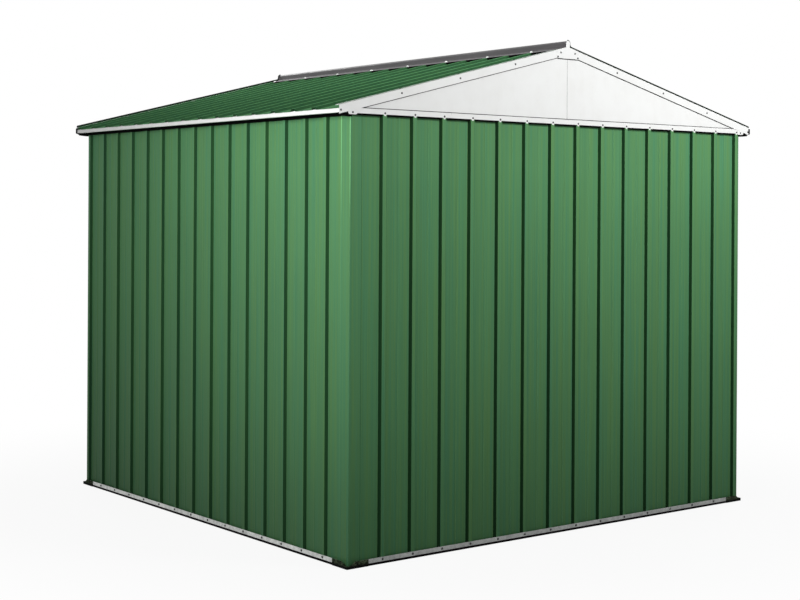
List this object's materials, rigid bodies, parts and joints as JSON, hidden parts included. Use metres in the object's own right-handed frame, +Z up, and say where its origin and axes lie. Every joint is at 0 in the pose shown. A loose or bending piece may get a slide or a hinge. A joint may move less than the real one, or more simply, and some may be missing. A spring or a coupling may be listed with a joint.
{
  "type": "metal storage shed",
  "caption": "Free-standing garden shed of ribbed green steel sheets on a galvanised base, with a low gable roof, white trims and a roll-top ridge cap.",
  "frame": {"origin": "middle of the shed at ground level", "axes": "+Z up, the ridge runs along Y, the gables face -Y and +Y, the eaves lie at -X and +X"},
  "size_m": [2.4216, 2.3166, 2.1338],
  "materials": {
    "wall_green": "satin",
    "roof_green": "satin",
    "white_trim": "satin",
    "ridge_grey": "satin",
    "galvanised": "spangled zinc",
    "foot_black": "matte, finely grained"
  },
  "bodies": {
    "root": {"front_wall_sheet_1": "wall_green", "front_wall_sheet_2": "wall_green", "front_wall_sheet_3": "wall_green", "back_wall_sheet_1": "wall_green", "back_wall_sheet_2": "wall_green", "back_wall_sheet_3": "wall_green", "left_wall_sheet_1": "wall_green", "left_wall_sheet_2": "wall_green", "left_wall_sheet_3": "wall_green", "right_wall_sheet_1": "wall_green", "right_wall_sheet_2": "wall_green", "right_wall_sheet_3": "wall_green", "front_base_rail": "galvanised", "back_base_rail": "galvanised", "left_base_rail": "galvanised", "right_base_rail": "galvanised", "front_left_foot": "foot_black", "front_right_foot": "foot_black", "back_left_foot": "foot_black", "back_right_foot": "foot_black", "front_left_corner": "wall_green", "front_right_corner": "wall_green", "back_left_corner": "wall_green", "back_right_corner": "wall_green", "front_gable_rail": "white_trim", "back_gable_rail": "white_trim", "left_eave_plate": "wall_green", "right_eave_plate": "wall_green", "front_left_infill": "white_trim", "front_right_infill": "white_trim", "back_left_infill": "white_trim", "back_right_infill": "white_trim", "front_left_rake": "white_trim", "front_right_rake": "white_trim", "back_left_rake": "white_trim", "back_right_rake": "white_trim", "front_apex_plate": "white_trim", "back_apex_plate": "white_trim", "left_eave_trim": "white_trim", "right_eave_trim": "white_trim", "left_roof_sheet_1": "roof_green", "left_roof_sheet_2": "roof_green", "right_roof_sheet_1": "roof_green", "right_roof_sheet_2": "roof_green", "ridge_cap": "ridge_grey"}
  },
  "joints": []
}
